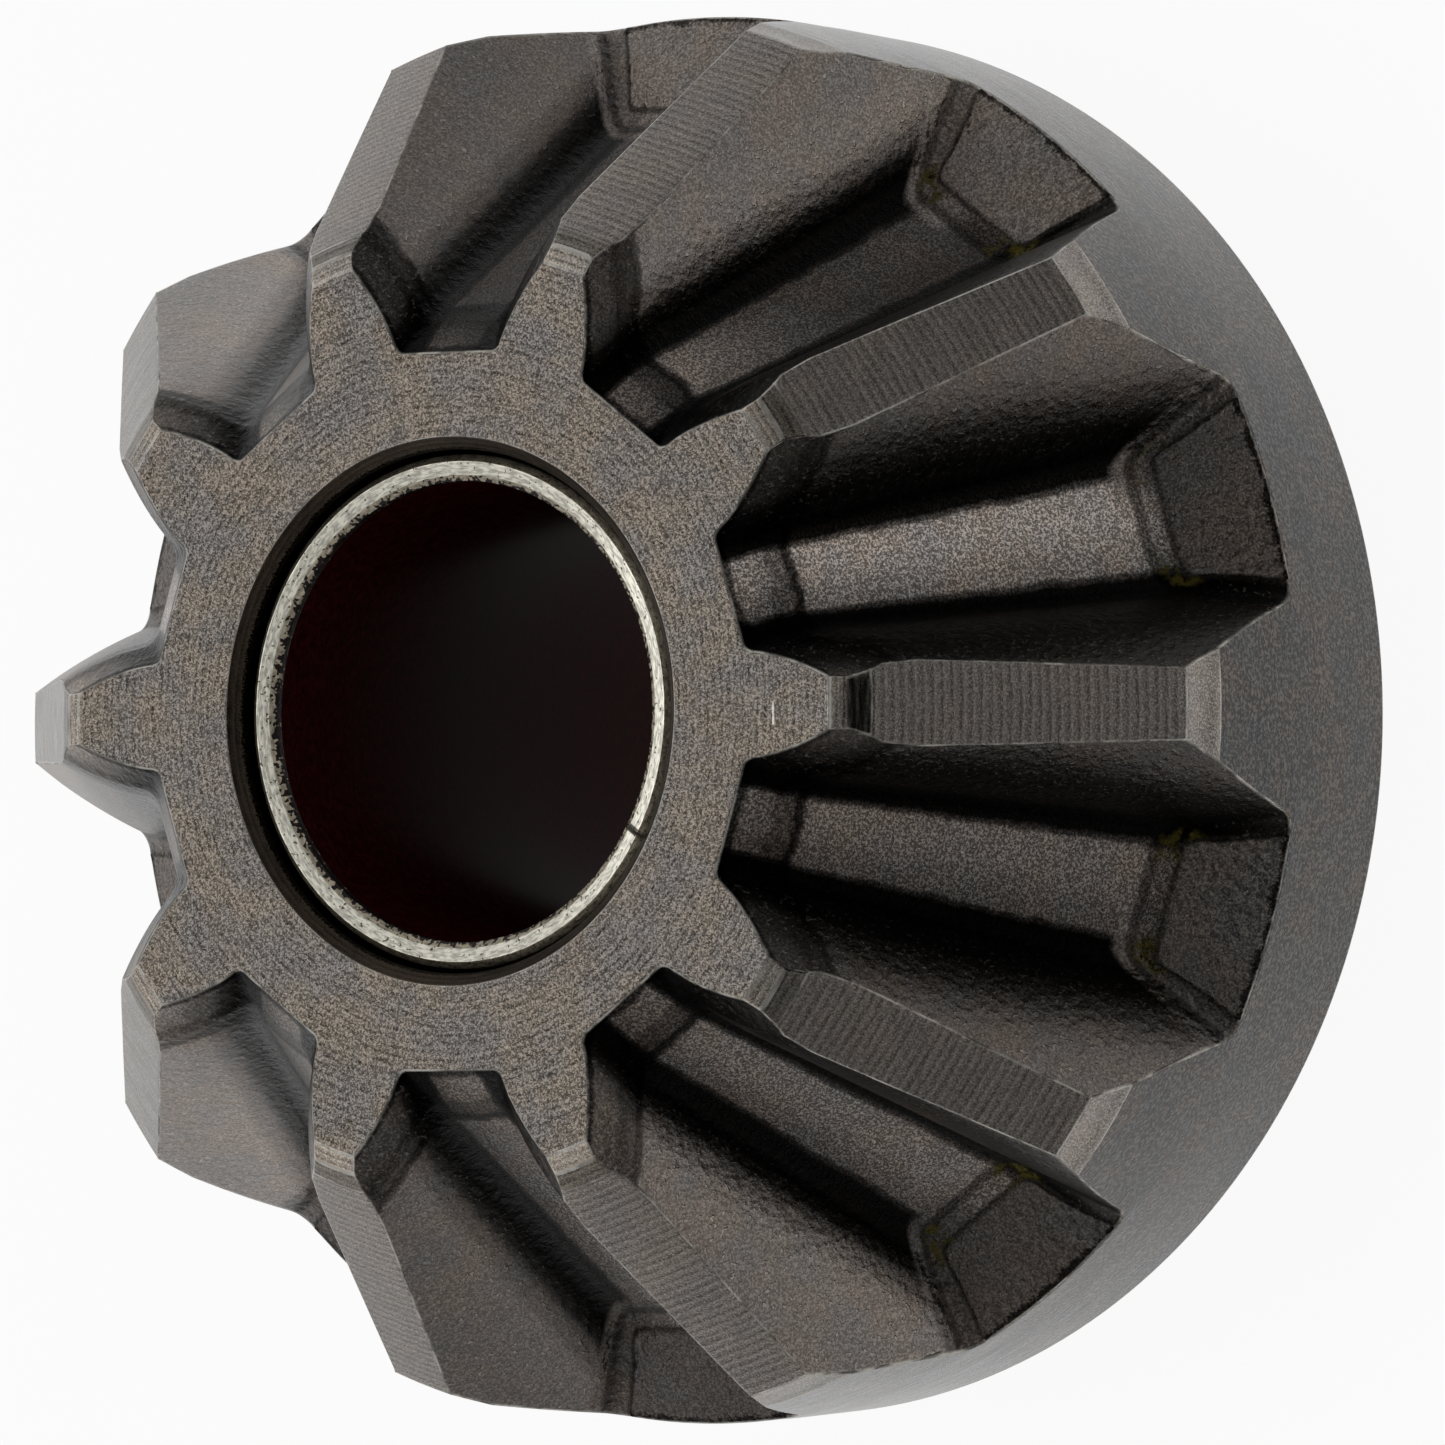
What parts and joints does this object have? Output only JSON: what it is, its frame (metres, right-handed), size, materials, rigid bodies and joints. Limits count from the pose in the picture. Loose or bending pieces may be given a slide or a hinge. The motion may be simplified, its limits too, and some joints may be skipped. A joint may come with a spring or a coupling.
{
  "type": "bevel pinion",
  "caption": "Straight-tooth bevel pinion of a differential, with closed tooth heels, a machined nose face and rim, and a split bush lining its bore.",
  "frame": {"origin": "centre of the flat ring on the back, where the part's bounding box ends below", "axes": "+Z along the gear's axis from the back towards the nose, +X through the middle of one tooth"},
  "size_m": [0.0934, 0.0934, 0.0495],
  "materials": {
    "phosphated_steel": "dark brownish grey phosphate coat over forged steel, with turned marks on the machined faces",
    "tinned_steel": "tin-coloured skin on the ends, dark low-friction lining inside"
  },
  "bodies": {
    "root": {"pinion_gear": "phosphated_steel", "split_bush": "tinned_steel"}
  },
  "joints": []
}
